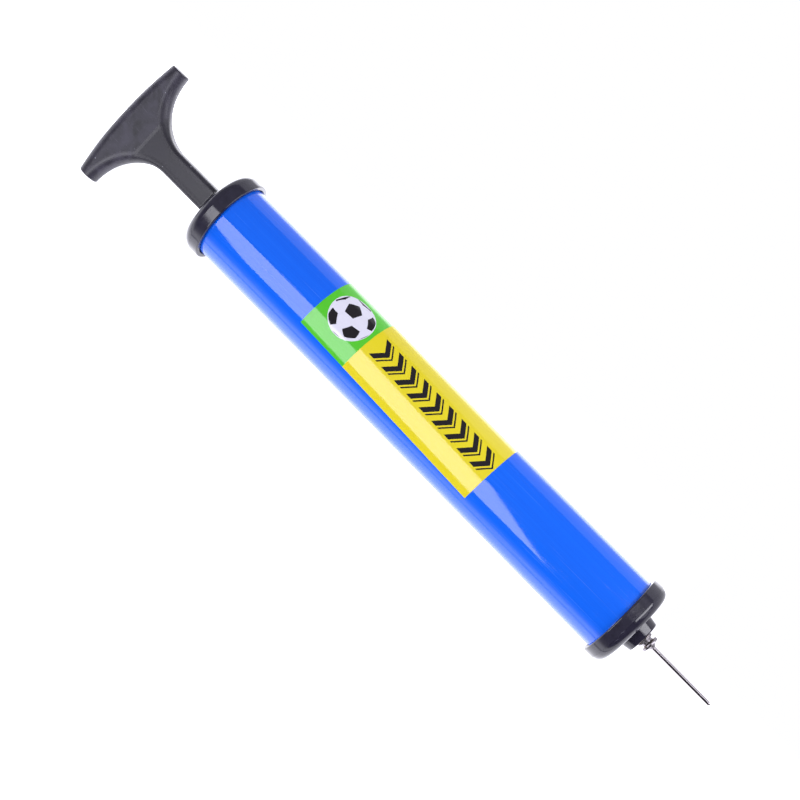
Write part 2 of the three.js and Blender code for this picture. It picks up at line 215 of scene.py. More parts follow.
def cap_plastic():
    """Glossy black moulded plastic, with faint waves and fine scratches."""
    look = Look("cap_plastic", IOR=1.5)
    moulding = look.noise(3, 3, seed=1)
    scratches = look.ramp(look.noise(1.2, 6, detail=2, seed=4, distortion=1.0), 0.66, 0.72)
    base = look.mix(look.ramp(moulding, 0.3, 0.7), colour(36, 34, 48), colour(45, 43, 58))
    base = look.mix(look.maths("MULTIPLY", scratches, 0.3), base, colour(92, 90, 108))
    polish = look.ramp(moulding, 0.3, 0.7, 0.07, 0.12)
    rough = look.maths("ADD", polish, look.maths("MULTIPLY", scratches, 0.2))
    relief = look.bump(look.noise(14, 14, detail=1, seed=2), 0.05)
    relief = look.bump(moulding, 0.004, relief)
    relief = look.bump(look.noise(0.3, 0.3, detail=2), 0.0012, relief)
    return look.set(Base_Color=base, Roughness=rough, Normal=relief)


def handle_plastic():
    """Semi-matte black plastic, scuffed and paler on the bar, where hands hold it, than on the panel."""
    look = Look("handle_plastic", IOR=1.5)
    flow = look.noise(9, 9, detail=6, seed=2, distortion=1.5)
    grain = look.noise(0.35, 0.35, detail=3)
    scuffs = look.ramp(look.noise(8, 0.6, detail=5, seed=6, distortion=2.0), 0.62, 0.75)
    dust = look.specks(5, 0.25)
    along = look.node("ShaderNodeSeparateXYZ", {"Vector": look.place()}).outputs["X"]
    worn = look.ramp(along, (PANEL_START + 0.6) * MM, (PANEL_START - 0.6) * MM, 0.25, 1.0)
    rubbed = look.maths("MULTIPLY", look.ramp(flow, 0.3, 0.7), worn)
    scuffed = look.maths("MULTIPLY", look.maths("MULTIPLY", scuffs, 0.5), worn)
    base = look.mix(rubbed, colour(34, 32, 41), colour(66, 63, 77))
    base = look.mix(scuffed, base, colour(120, 118, 134))
    base = look.mix(look.maths("MULTIPLY", dust, 0.7), base, colour(190, 190, 205))
    rough = look.maths("ADD", look.ramp(flow, 0.3, 0.7, 0.36, 0.46), look.maths("MULTIPLY", scuffs, 0.15))
    relief = look.bump(flow, 0.03)
    relief = look.bump(grain, 0.002, relief)
    relief = look.bump(scuffs, -0.006, relief)
    return look.set(Base_Color=base, Roughness=rough, Normal=relief)


def metal(name, bright, dull, roughness, streak_length):
    """Metal with streaks of this length along the pump and dull stains."""
    look = Look(name, Metallic=1.0)
    streaks = look.noise(streak_length, 0.25, detail=3)
    stains = look.noise(4, 4, seed=3)
    base = look.mix(look.ramp(stains, 0.35, 0.75), bright, dull)
    rough = look.maths("ADD", look.ramp(streaks, 0.3, 0.7, -0.03, 0.05), roughness)
    return look.set(Base_Color=base, Roughness=rough, Normal=look.bump(streaks, 0.0004))


def rubber():
    look = Look("rubber", IOR=1.5)
    bloom = look.noise(6, 6, seed=4)
    base = look.mix(look.ramp(bloom, 0.4, 0.75), colour(22, 22, 24), colour(48, 48, 52))
    rough = look.ramp(bloom, 0.3, 0.7, 0.6, 0.8)
    return look.set(Base_Color=base, Roughness=rough, Normal=look.bump(look.noise(0.4, 0.4), 0.02))


def nylon():
    look = Look("nylon", IOR=1.5)
    cloud = look.noise(5, 5, seed=8)
    base = look.mix(look.ramp(cloud, 0.3, 0.7), colour(222, 216, 200), colour(238, 234, 224))
    rough = look.ramp(cloud, 0.3, 0.7, 0.35, 0.5)
    relief = look.bump(look.noise(0.6, 0.6), 0.01)
    return look.set(Base_Color=base, Roughness=rough, Normal=relief, Subsurface_Weight=0.1)


BLUE = blue_plastic()
GREEN_INK = printed_film("green_ink", colour(84, 199, 44), colour(92, 205, 58))
YELLOW_INK = printed_film("yellow_ink", colour(230, 213, 34), colour(234, 217, 52))
WHITE_INK = printed_film("white_ink", colour(226, 224, 240), colour(232, 229, 243))
BLACK_INK = printed_film("black_ink", colour(26, 22, 28), colour(36, 32, 38))
CAP_BLACK = cap_plastic()
HANDLE_BLACK = handle_plastic()
RUBBER = rubber()
NYLON = nylon()
NICKEL = metal("nickel", colour(184, 178, 182), colour(166, 160, 164), 0.09, 12.0)
PLATING = metal("plating", colour(158, 154, 158), colour(122, 117, 121), 0.22, 2.0)
STEEL = metal("steel", colour(214, 216, 220), colour(190, 192, 198), 0.16, 30.0)
BRASS = metal("brass", colour(214, 178, 96), colour(180, 140, 70), 0.28, 1.0)


# ---------------------------------------------------------------- making pieces


def add_piece(name, bm, materials, body, replaced=(), bevel=0.0):
    """A finished piece from a bmesh in millimetres about the pump's axis."""
    bmesh.ops.recalc_face_normals(bm, faces=bm.faces)
    mesh = bpy.data.meshes.new(name)
    bm.to_mesh(mesh)
    bm.free()
    mesh.transform(FROM_AXIS)
    for material in materials:
        mesh.materials.append(material)
    mesh.shade_smooth()
    mesh.set_sharp_from_angle(angle=SMOOTH_ANGLE)
    piece = bpy.data.objects.new(name, mesh)
    bpy.context.scene.collection.objects.link(piece)
    if bevel:
        rounding = piece.modifiers.new("rounding", "BEVEL")
        rounding.width = bevel * MM
        rounding.segments = 3
        rounding.limit_method = "ANGLE"
        rounding.angle_limit = SMOOTH_ANGLE
    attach(piece, body)
    if replaced:
        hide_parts(*replaced)
    return piece


def plain_radius(station, radius, angle):
    return radius


BRACE = 0.15  # how far an added profile point lies from a corner


def braced(profile):
    """The profile with a point close to each end of its long stretches, which keeps them shaded flat."""
    result = []
    closed = profile[0][1] > 0
    for i, (start, end) in enumerate(zip(profile, profile[1:] + profile[:1])):
        result.append(start)
        length = math.dist(start, end)
        if length > 6 * BRACE and (closed or i < len(profile) - 1):
            for share in (BRACE / length, 1 - BRACE / length):
                result.append(tuple(a + (b - a) * share for a, b in zip(start, end)))
    return result


def turned(profile, sides=96, shape=plain_radius):
    """A bmesh turned from (station, radius) points. The profile closes on itself unless its ends are on the
    axis. shape gives the radius at each station and angle, for what isn't quite round."""
    profile = braced(profile)
    bm = bmesh.new()
    hoops = []
    for station, radius in profile:
        hoop = []
        for i in range(sides if radius > 0 else 1):
            angle = math.tau * i / sides
            r = shape(station, radius, angle)
            hoop.append(bm.verts.new((station, r * math.sin(angle), r * math.cos(angle))))
        hoops.append(hoop)
    following = hoops[1:] + hoops[:1] if profile[0][1] > 0 else hoops[1:]
    for near, far in zip(hoops, following):
        if len(near) == len(far) == 1:
            continue
        for i in range(sides):
            j = i + 1
            around = (near[i % len(near)], near[j % len(near)], far[j % len(far)], far[i % len(far)])
            bm.faces.new(tuple(dict.fromkeys(around)))
    return bm


def arc(station, radius, size, start, end, steps=8):
    """Profile points of a rounded corner about a centre, from one angle to another in degrees."""
    angles = (math.radians(start + (end - start) * i / steps) for i in range(steps + 1))
    return [(station + size * math.cos(a), radius + size * math.sin(a)) for a in angles]


def ring(node, bore, material, body, bevel=0.15):
    """A plain ring that replaces a CAD node of the same name, ends and outer radius."""
    start, end = span(node)
    radius = radius_of(node)
    bm = turned([(start, bore), (start, radius), (end, radius), (end, bore)])
    return add_piece(node + "_turned", bm, [material], body, [node], bevel)


# ---------------------------------------------------------------- barrel


BIG_SIDES = 144
RIM_STEP = 0.3  # from a cap's rounded shoulder up to its rim
RIM_EDGE = 0.1
LIP_ROUNDING = 0.5
LIP_CHAMFER = 0.4


def add_tube():
    start, end = span("barrel_tube")
    bore = TUBE_RADIUS - TUBE_WALL
    hoops = 48
    outside = [(start + (end - start) * i / hoops, TUBE_RADIUS) for i in range(hoops + 1)]
    bm = turned([(start, bore)] + outside + [(end, bore)], sides=BIG_SIDES)
    add_piece("tube", bm, [BLUE], "barrel", ["barrel_tube"], bevel=0.2)


def add_handle_end_cap():
    """The cap that the rod passes through: a dished hole, a rounded shoulder, a rim and a spigot inside."""
    face, mouth = span("handle_end_cap")
    rim_end = mouth - 5.0
    shoulder = 3.9
    hole = BUSH_RADIUS + 0.05
    dish_depth = 0.35
    floor = face + CAP_WALL
    skirt = TUBE_RADIUS + FIT_GAP
    spigot = TUBE_RADIUS - TUBE_WALL - FIT_GAP
    spigot_end = floor + 5
    spigot_bore = spigot - 2
    lip = mouth - LIP_ROUNDING
    profile = [(face + dish_depth, hole), (face + dish_depth, hole + 2.2), (face, hole + 2.5)]
    profile += arc(rim_end, CAP_RADIUS - shoulder - RIM_STEP, shoulder, 180, 90, 10)
    profile += [(rim_end + RIM_EDGE, CAP_RADIUS), (lip, CAP_RADIUS)]
    profile += arc(lip, CAP_RADIUS - LIP_ROUNDING, LIP_ROUNDING, 90, 0, 4)[1:]
    profile += [(mouth, skirt + LIP_CHAMFER), (lip, skirt), (floor, skirt), (floor, spigot)]
    profile += [(spigot_end, spigot), (spigot_end, spigot_bore), (floor, spigot_bore), (floor, hole)]
    bm = turned(profile, sides=BIG_SIDES)
    add_piece("handle_end_cap_shell", bm, [CAP_BLACK], "barrel", ["handle_end_cap"])


def add_needle_end_cap():
    """The cap that the nozzle's boss comes out of."""
    mouth, face = span("needle_end_cap")
    rim_end = mouth + 4.6
    shoulder = 3.7
    hole = BOSS_RADIUS + 0.2
    dish_depth = 0.25
    floor = face - CAP_WALL
    skirt = TUBE_RADIUS + FIT_GAP
    lip = mouth + LIP_ROUNDING
    profile = [(floor, hole), (floor, skirt), (lip, skirt), (mouth, skirt + LIP_CHAMFER)]
    profile += arc(lip, CAP_RADIUS - LIP_ROUNDING, LIP_ROUNDING, 180, 90, 4)
    profile += [(rim_end - RIM_EDGE, CAP_RADIUS)]
    profile += arc(rim_end, CAP_RADIUS - shoulder - RIM_STEP, shoulder, 90, 0, 10)
    profile += [(face, hole + 1.2), (face - dish_depth, hole + 0.9), (face - dish_depth, hole)]
    bm = turned(profile, sides=BIG_SIDES)
    add_piece("needle_end_cap_shell", bm, [CAP_BLACK], "barrel", ["needle_end_cap"])


def add_nozzle():
    """The nozzle: a flange behind the cap, a tapered boss, and from the back a recess for the valve's seat,
    the valve's chamber, an air hole and the needle's socket."""
    back, end = span("outlet_nozzle")
    flange = radius_of("outlet_nozzle")
    face = span("needle_end_cap")[1]
    flange_end = face - CAP_WALL - FIT_GAP
    tip_radius = 7.35
    rounding = 0.6
    seat_recess, chamber, air_hole = radius_of("valve_seat") + FIT_GAP, 5.5, 1.6
    seat_end = span("valve_seat")[1] + FIT_GAP
    chamber_end = 124.2
    socket = radius_of("thread_insert") + FIT_GAP
    socket_bottom = span("nozzle_gasket")[0] - FIT_GAP
    profile = [(back, seat_recess), (back, flange), (flange_end, flange)]
    profile += [(flange_end, BOSS_RADIUS), (face, BOSS_RADIUS)]
    profile += arc(end - rounding, tip_radius - rounding, rounding, 90, 0, 5)
    profile += [(end, socket + 0.3), (end - 0.3, socket), (socket_bottom, socket), (socket_bottom, air_hole)]
    profile += [(chamber_end, air_hole), (chamber_end, chamber), (seat_end, chamber), (seat_end, seat_recess)]
    add_piece("nozzle_body", turned(profile), [CAP_BLACK], "barrel", ["outlet_nozzle"])


# ---------------------------------------------------------------- label

# The label's middle is at a station and an angle from straight up. Places on the unrolled label are u along
# the pump and v across it, from that middle. A lift is how far a layer's two faces stand off the tube.
LABEL_LENGTH = 96.0
LABEL_WRAP = 33.6
LABEL_MIDDLE = -1.35
LABEL_ANGLE = math.radians(28.5)
LABEL_SKEW = math.radians(-2.0)
GREEN_LENGTH = 24.7
FILM_LIFT = (0.02, 0.12)
INK_LIFT = (0.12, 0.135)
TOP_INK_LIFT = (0.135, 0.145)
STRIP = 0.8  # an outline is cut into strips about this wide, so that it can bend
BALL_RADIUS = 10.0
BALL_PLACE = (-35.0, 0.2)
BALL_TURNS = ((6.3, "X"), (-22, "Z"), (17, "X"), (-22, "Y"))
BALL_SIDES = 96
PATCH_SIZE = 0.37  # the share of the way from a patch's middle to the next one's
PATCH_STEPS = 8
PATCH_REACH = 0.985  # patches stop just short of the ball's edge


def wrapped(name, outlines, lift, materials, replaced=()):
    """Flat outlines on the unrolled label, each with its material number, wrapped on the tube."""
    bm = bmesh.new()
    for outline, material in outlines:
        face = bm.faces.new([bm.verts.new((u, v, lift[0])) for u, v in outline])
        face.material_index = material
    reach = LABEL_WRAP / 2
    strips = int(2 * reach / STRIP)
    for i in range(1, strips):
        everything = bm.verts[:] + bm.edges[:] + bm.faces[:]
        v = -reach + 2 * reach * i / strips
        bmesh.ops.bisect_plane(bm, geom=everything, plane_co=(0, v, 0), plane_no=(0, 1, 0))
    top = bmesh.ops.extrude_face_region(bm, geom=bm.faces[:])
    for vertex in top["geom"]:
        if isinstance(vertex, bmesh.types.BMVert):
            vertex.co.z = lift[1]
    for vertex in bm.verts:
        u, v, rise = vertex.co
        station = LABEL_MIDDLE + u * math.cos(LABEL_SKEW) - v * math.sin(LABEL_SKEW)
        angle = LABEL_ANGLE + (u * math.sin(LABEL_SKEW) + v * math.cos(LABEL_SKEW)) / TUBE_RADIUS
        radius = TUBE_RADIUS + rise
        vertex.co = (station, radius * math.sin(angle), radius * math.cos(angle))
    return add_piece(name, bm, materials, "barrel", replaced)


def rectangle(left, right, low, high):
    return [(left, low), (right, low), (right, high), (left, high)]


def ball_patches():
    """The dark pentagons of a football seen from one side: the corners of an icosahedron, each widened."""
    golden = (1 + math.sqrt(5)) / 2
    signs = [(s, t) for s in (-1, 1) for t in (-golden, golden)]
    centres = [Vector(p) for s, t in signs for p in ((0, s, t), (s, t, 0), (t, 0, s))]
    view = Matrix.Identity(3)
    for degrees, axis in BALL_TURNS:
        view = view @ Matrix.Rotation(math.radians(degrees), 3, axis)
    patches = []
    for centre in centres:
        nearest = sorted(centres, key=lambda other: (other - centre).length)[1:6]
        out = (view @ centre).normalized()
        side = out.orthogonal().normalized()
        top = out.cross(side)
        corners = [(view @ centre.lerp(other, PATCH_SIZE)).normalized() for other in nearest]
        corners.sort(key=lambda c: math.atan2(c.dot(top), c.dot(side)))
        edge = []
        for a, b in zip(corners, corners[1:] + corners[:1]):
            edge += [a.lerp(b, i / PATCH_STEPS).normalized() for i in range(PATCH_STEPS)]
        seen = [p for p in edge if p.z > 0.05]
        if len(seen) > 6:
            reach = BALL_RADIUS * PATCH_REACH
            patches.append([(p.x * reach, p.y * reach) for p in seen])
    return patches


def add_label():
    half, reach = LABEL_LENGTH / 2, LABEL_WRAP / 2
    split = GREEN_LENGTH - half
    film = [(rectangle(-half, split, -reach, reach), 0), (rectangle(split, half, -reach, reach), 1)]
    wrapped("label_film", film, FILM_LIFT, [GREEN_INK, YELLOW_INK], ["label_sticker"])
    u0, v0 = BALL_PLACE
    turns = [math.tau * i / BALL_SIDES for i in range(BALL_SIDES)]
    disc = [(u0 + BALL_RADIUS * math.cos(a), v0 + BALL_RADIUS * math.sin(a)) for a in turns]
    wrapped("label_ball_disc", [(disc, 0)], INK_LIFT, [WHITE_INK])
    patches = [([(u0 + u, v0 + v) for u, v in patch], 0) for patch in ball_patches()]
    wrapped("label_ball_patches", patches, TOP_INK_LIFT, [BLACK_INK])
    add_chevrons()


CHEVRON_START = -19.5
CHEVRON_PITCH = 7.3
CHEVRON_COUNT = 9
CHEVRON_HEIGHT = 10.0
CHEVRON_POINT = 4.0
CHEVRON_STROKES = ((0.0, 2.7), (3.6, 0.8))  # where each stroke starts, and its width


def add_chevrons():
    """A plain row of arrowheads that point to the needle, each a thick stroke and a thin one."""
    outlines = []
    for i in range(CHEVRON_COUNT):
        for offset, width in CHEVRON_STROKES:
            left = CHEVRON_START + i * CHEVRON_PITCH + offset
            high = CHEVRON_HEIGHT / 2
            for side in (-1, 1):
                arm = [(left, side * high), (left + CHEVRON_POINT, 0), (left + CHEVRON_POINT + width, 0)]
                outlines.append((arm + [(left + width, side * high)], 0))
    wrapped("label_chevrons", outlines, INK_LIFT, [BLACK_INK])


# ---------------------------------------------------------------- handle

HANDLE_BACK, NECK_END = span("handle")
HANDLE_HALF_SPAN = radius_of("handle")
HALF_THICKNESS = 4.5
NECK_HALF = 5.5
BACK_BULGE = 2.4
FILLET_STATION = -138.6  # where the neck starts to widen into the bar
FILLET_ALONG = 20.5
BAR_ROUNDING = 4.35
NECK_ROUNDING = 2.15
PANEL_DEPTH = 0.2
HANDLE_STEP = 0.35


def smooth_step(value, start, end):
    """From 0 to 1, smoothly, as the value goes from start to end."""
    t = np.clip((value - start) / (end - start), 0, 1)
    return t * t * (3 - 2 * t)


def soft_max(a, b, blend):
    """The larger of two fields, with the edge where they meet rounded over this distance."""
    h = np.clip(0.5 + 0.5 * (a - b) / blend, 0, 1)
    return b + (a - b) * h + blend * h * (1 - h)


def finger_side(x, y):
    """How far a point is past the handle's edge on the finger side: negative inside the handle."""
    # The edge is a quarter of an ellipse from the neck's side to the bar's end.
    across = HANDLE_HALF_SPAN - NECK_HALF
    along = FILLET_ALONG
    dx, dy = FILLET_STATION - x, HANDLE_HALF_SPAN - y
    k0 = np.sqrt((dx / along) ** 2 + (dy / across) ** 2) + 1e-9
    k1 = np.sqrt((dx / along**2) ** 2 + (dy / across**2) ** 2) + 1e-9
    curve = -k0 * (k0 - 1) / k1
    edge = np.where(x > FILLET_STATION, y - NECK_HALF, curve)
    return np.where((y > HANDLE_HALF_SPAN) & (x <= FILLET_STATION), along - dx, edge)


def handle_field(x, y, z):
    """Negative inside the handle, and about the distance in millimetres to its surface near it."""
    y, z = np.abs(y), np.abs(z)
    back_radius = (HANDLE_HALF_SPAN**2 + BACK_BULGE**2) / (2 * BACK_BULGE)
    back = np.hypot(x - HANDLE_BACK - back_radius, y) - back_radius
    fingers = finger_side(x, y)
    outline = np.maximum(back, fingers)
    on_neck = smooth_step(x, -158, -142)
    rounding = BAR_ROUNDING + (NECK_ROUNDING - BAR_ROUNDING) * on_neck
    in_panel = smooth_step(x, PANEL_START, PANEL_START + 1.3) * smooth_step(-fingers, 0.3, 3.5)
    half_thickness = HALF_THICKNESS - PANEL_DEPTH * in_panel
    a, b = outline + rounding, z - (half_thickness - rounding)
    body = np.minimum(np.maximum(a, b), 0) + np.hypot(np.maximum(a, 0), np.maximum(b, 0)) - rounding
    body = soft_max(body, y - HANDLE_HALF_SPAN, 0.7)
    return soft_max(body, x - NECK_END, 0.35)


def settle(field, points, steps=4):
    """Points moved onto the surface where the field is zero."""
    h = 0.01
    for _ in range(steps):
        x, y, z = points.T
        slope = [field(x + h, y, z) - field(x - h, y, z),
                 field(x, y + h, z) - field(x, y - h, z),
                 field(x, y, z + h) - field(x, y, z - h)]
        slope = np.stack(slope, 1) / (2 * h)
        value = field(x, y, z)[:, None]
        points = points - value * slope / np.maximum((slope**2).sum(1, keepdims=True), 0.25)
    return points


def surface_of(field, low, high, step):
    """Points and four-sided faces of the surface where the field is zero, inside a box."""
    axes = [np.arange(a - 2 * step, b + 3 * step, step) for a, b in zip(low, high)]
    inside = field(*np.meshgrid(*axes, indexing="ij")) < 0
    nx, ny, nz = (n - 1 for n in inside.shape)
    corners = [inside[i:i + nx, j:j + ny, k:k + nz] for i in (0, 1) for j in (0, 1) for k in (0, 1)]
    count = sum(c.astype(np.int8) for c in corners)
    mixed = (count > 0) & (count < 8)
    number = np.full(mixed.shape, -1)
    number[mixed] = np.arange(mixed.sum())
    cells = np.argwhere(mixed)
    points = np.stack([axes[i][cells[:, i]] + step / 2 for i in range(3)], 1)
    faces = []
    for axis in range(3):
        one, two = (axis + 1) % 3, (axis + 2) % 3
        ahead = np.roll(inside, -1, axis)
        crossing = np.argwhere(inside != ahead)
        outward = inside[tuple(crossing.T)]
        back_one, back_two = np.eye(3, dtype=int)[one], np.eye(3, dtype=int)[two]
        around = [crossing, crossing - back_one, crossing - back_one - back_two, crossing - back_two]
        quads = np.stack([number[tuple(c.T)] for c in around], 1)
        quads[outward] = quads[outward][:, ::-1]
        faces.append(quads)
    faces = np.concatenate(faces)
    pairs = np.concatenate([faces[:, [i, (i + 1) % 4]] for i in range(4)])
    for _ in range(5):
        total = np.zeros_like(points)
        shares = np.zeros(len(points))
        for a, b in ((0, 1), (1, 0)):
            np.add.at(total, pairs[:, a], points[pairs[:, b]])
            np.add.at(shares, pairs[:, a], 1)
        points = settle(field, 0.5 * points + 0.5 * total / shares[:, None])
    return points, faces


def add_handle():
    low = (HANDLE_BACK, -HANDLE_HALF_SPAN, -HALF_THICKNESS)
    high = (NECK_END, HANDLE_HALF_SPAN, HALF_THICKNESS)
    points, faces = surface_of(handle_field, low, high, HANDLE_STEP)
    mesh = bpy.data.meshes.new("handle_surface")
    mesh.from_pydata(points.tolist(), [], faces.tolist())
    bm = bmesh.new()
    bm.from_mesh(mesh)
    bpy.data.meshes.remove(mesh)
    add_piece("t_handle", bm, [HANDLE_BLACK], "handle_and_rod", ["handle"])


# ---------------------------------------------------------------- rod, piston and valve


def add_rod():
    start, end = span("piston_rod")
    radius = radius_of("piston_rod")
    chamfer = 0.5
    hoops = 24
    side = [(start + (end - start) * i / hoops, radius) for i in range(hoops)]
    profile = [(start, 0)] + side + [(end - chamfer, radius), (end, radius - chamfer), (end, 0)]
    add_piece("rod", turned(profile, sides=64), [STEEL], "handle_and_rod", ["piston_rod"])


def add_nut(node):
    """A hexagon nut with its corners turned down."""
    start, end = span(node)
    flats = radius_of(node)
    corner = flats / math.cos(math.pi / 6)
    bore = 3.2
    chamfer = 0.8

    def six_sided(station, radius, angle):
        offset = (angle + math.pi / 6) % (math.pi / 3) - math.pi / 6
        return radius if radius <= bore else min(radius, flats / math.cos(offset))

    profile = [(start, bore), (start, flats), (start + chamfer, corner + 0.2)]
    profile += [(end - chamfer, corner + 0.2), (end, flats), (end, bore)]
    bm = turned(profile, shape=six_sided)
    add_piece(node + "_hex", bm, [STEEL], "handle_and_rod", [node])


def add_piston():
    """The stack on the rod: a backing disc, a flexible cup that flares towards the needle, and a washer."""
    rod_hole = 3.35
    ring("piston_backing_disc", rod_hole, NYLON, "piston", 0.4)
    ring("piston_front_washer", rod_hole, STEEL, "piston", 0.2)
    start, end = span("piston_cup")
    lip = radius_of("piston_cup")
    root = lip - 0.5
    bend = 1.2
    cup_floor = start + 2.2
    inside = lip - 2.3
    profile = [(start, rod_hole)] + arc(start + bend, root - bend, bend, 180, 90, 5)
    profile += [(end, lip), (end, lip - 0.9), (cup_floor + bend, inside)]
    profile += arc(cup_floor + bend, inside - bend, bend, 90, 180, 5)[1:] + [(cup_floor, rod_hole)]
    add_piece("cup", turned(profile), [RUBBER], "piston", ["piston_cup"])


def add_inner_rings():
    ring("stop_bumper", 4.35, RUBBER, "barrel", 0.5)
    ring("barrel_gasket", 12.9, RUBBER, "barrel", 0.15)
    ring("valve_seat", 1.6, NYLON, "barrel", 0.2)
    ring("nozzle_gasket", 1.6, RUBBER, "barrel", 0.2)


def add_bush():
    start, end = span("rod_guide_bush")
    flange = radius_of("rod_guide_bush")
    flange_start = start + 2.5
    bore = 3.3
    chamfer = 0.3
    profile = [(start, bore + chamfer), (start, BUSH_RADIUS), (flange_start, BUSH_RADIUS)]
    profile += [(flange_start, flange), (end, flange), (end, bore), (start + chamfer, bore)]
    bm = turned(profile)
    add_piece("bush", bm, [NYLON], "barrel", ["rod_guide_bush"], bevel=0.15)


def add_check_valve():
    start, end = span("check_valve_disc")
    radius = radius_of("check_valve_disc")
    bm = turned([(start, 0), (start, radius), (end, radius), (end, 0)])
    add_piece("valve_disc", bm, [RUBBER], "check_valve", ["check_valve_disc"], bevel=0.2)


# ---------------------------------------------------------------- needle

PITCH = 0.79375  # 32 threads to the inch
HOOPS_PER_TURN = 10


def threaded(start, end, depth, sign):
    """A shape with a right-hand thread of this depth between two stations: sign 1 for ridges that stand out
    of the radius, -1 for ridges that reach in from it. The thread fades out over its first and last turn."""

    def shape(station, radius, angle):
        turn = station / PITCH + angle / math.tau
        wave = 1 - abs(2 * (turn % 1) - 1)
        fade = min(1, max(0, (station - start) / PITCH), max(0, (end - station) / PITCH))
        ridge = min(1, max(0, 1.6 * wave - 0.3))  # flat at the root and at the crest
        return radius + sign * depth * ridge * fade

    return shape


def thread_hoops(start, end, radius):
    """Profile points close enough together to carry a thread."""
    count = int((end - start) / PITCH * HOOPS_PER_TURN)
    return [(start + (end - start) * i / count, radius) for i in range(count + 1)]


def add_thread_insert():
    start, end = span("thread_insert")
    radius = radius_of("thread_insert")
    bore = 4.1
    thread_start, thread_end = start + 0.2, end - 0.3
    hoops = thread_hoops(thread_start, thread_end, bore)
    thread = threaded(thread_start, thread_end, 0.3, -1)

    def shape(station, r, angle):
        return r if r > bore + 0.01 else thread(station, r, angle)

    profile = [(start, radius), (end, radius), (end, bore + 0.3)] + hoops[::-1] + [(start, bore + 0.2)]
    add_piece("insert", turned(profile, shape=shape), [BRASS], "barrel", ["thread_insert"])


def add_needle_base():
    """The needle's foot: a threaded shank, a neck, a round flange and a stepped cone around the tube."""
    start, end = span("needle_base")
    radius = radius_of("needle_base")
    boss_end = span("outlet_nozzle")[1]
    root, neck, bore = 3.3, 2.4, 0.95
    edge = 0.3
    thread_start, thread_end = start + edge, boss_end - 0.2
    flange_start, flange_end = end - 2.6, end - 1.2
    hoops = thread_hoops(thread_start, thread_end, root)
    thread = threaded(thread_start, thread_end, 0.42, 1)

    def shape(station, r, angle):
        return thread(station, r, angle) if r == root else r

    profile = [(start, bore), (start, root - edge)] + hoops + [(boss_end, neck)]
    profile += [(flange_start - edge, neck), (flange_start, neck + edge), (flange_start, radius - edge)]
    profile += arc(flange_start + edge, radius - edge, edge, 180, 90, 4)
    profile += arc(flange_end - edge, radius - edge, edge, 90, 0, 4)
    profile += [(flange_end, 2.3), (flange_end + 0.25, 1.9), (end - 0.2, 1.35), (end, 1.15), (end, bore)]
    bm = turned(profile, shape=shape)
    add_piece("needle_foot", bm, [PLATING], "needle", ["needle_base"])
    ring("needle_washer", 2.7, PLATING, "needle_washer", 0.25)


def add_needle_tube():
    """The hollow needle, with a round closed tip and a hole in its upper side close to it."""
    start, tip = span("needle_tube")
    radius = radius_of("needle_tube")
    bore = 0.5
    bore_end = tip - 2
    hoops = 12
    hole_radius, hole_reach = 0.35, 2
    profile = [(start, bore)]
    profile += [(start + (tip - radius - start) * i / hoops, radius) for i in range(hoops)]
    profile += arc(tip - radius, 0, radius, 90, 8, 8) + [(tip, 0), (bore_end, 0), (bore_end, bore)]
    bm = turned(profile, sides=48)
    shaft = add_piece("needle_shaft", bm, [NICKEL], "needle", ["needle_tube"])
    place = Vector((tip - 5, 0, AXIS_HEIGHT + hole_reach / 2)) * MM
    bpy.ops.mesh.primitive_cylinder_add(radius=hole_radius * MM, depth=hole_reach * MM, location=place)
    drill = bpy.context.object
    hole = shaft.modifiers.new("side_hole", "BOOLEAN")
    hole.object = drill
    bpy.context.view_layer.objects.active = shaft
    bpy.ops.object.modifier_apply(modifier=hole.name)
    bpy.data.objects.remove(drill)


# ---------------------------------------------------------------- floor and light

LAMP_WHITE = (0.99, 0.99, 1.06)


def step(tree, value, start, end, high=1.0):
    """From 0 to high, smoothly, as the value goes from start to end."""
    ramp = tree.nodes.new("ShaderNodeMapRange")
    ramp.interpolation_type = "SMOOTHSTEP"
    for socket, number in (("From Min", start), ("From Max", end), ("To Max", high)):
        ramp.inputs[socket].default_value = number
    tree.links.new(value, ramp.inputs["Value"])
    return ramp.outputs[0]


def blend(tree, value, stops):
    """A brightness from stops of (value, brightness), joined smoothly."""
    result = stops[0][1]
    for (start, low), (end, high) in zip(stops, stops[1:]):
        add = tree.nodes.new("ShaderNodeMath")
        tree.links.new(step(tree, value, start, end, high - low), add.inputs[0])
        if isinstance(result, float):
            add.inputs[1].default_value = result
        else:
            tree.links.new(result, add.inputs[1])
        result = add.outputs[0]
    return result


def mix(tree, factor, a, b):
    """Brightness a where the factor is 0 and b where it is 1."""
    node = tree.nodes.new("ShaderNodeMix")
    for socket, value in ((0, factor), (2, a), (3, b)):
        if isinstance(value, float):
            node.inputs[socket].default_value = value
        else:
            tree.links.new(value, node.inputs[socket])
    return node.outputs[0]


# Stops of (place, brightness). A floor's place is its Y in metres, and a sky's the height of its direction.
FLOOR_GLOW = (
    (-0.5, 1.0), (-0.3, 2.4), (-0.038, 2.25), (-0.028, 1.5),
    (-0.018, 1.2), (0.0, 3.2), (0.034, 3.4), (0.046, 1.0),
)
FLOOR_PAST_NEEDLE = ((-0.5, 1.0), (-0.3, 2.4), (-0.01, 2.4), (0.008, 1.0))
SKY_NEAR_SIDE = ((0.0, 2.2), (0.1, 2.1), (0.4, 0.45), (0.55, 0.15), (1.0, 0.2))
SKY_FAR_SIDE = 0.28
SKY_OVER_NEEDLE_END = 0.05
SKY_PAST_NEEDLE = ((0.1, 0.3), (0.25, 1.5))
FLOOR_WHITE = (1.0, 1.0, 1.08, 1.0)
FLOOR_SIZE = 8
FLOOR_DROP = 0.0005  # below the surface that the pump lies on, so that nothing cuts into the floor


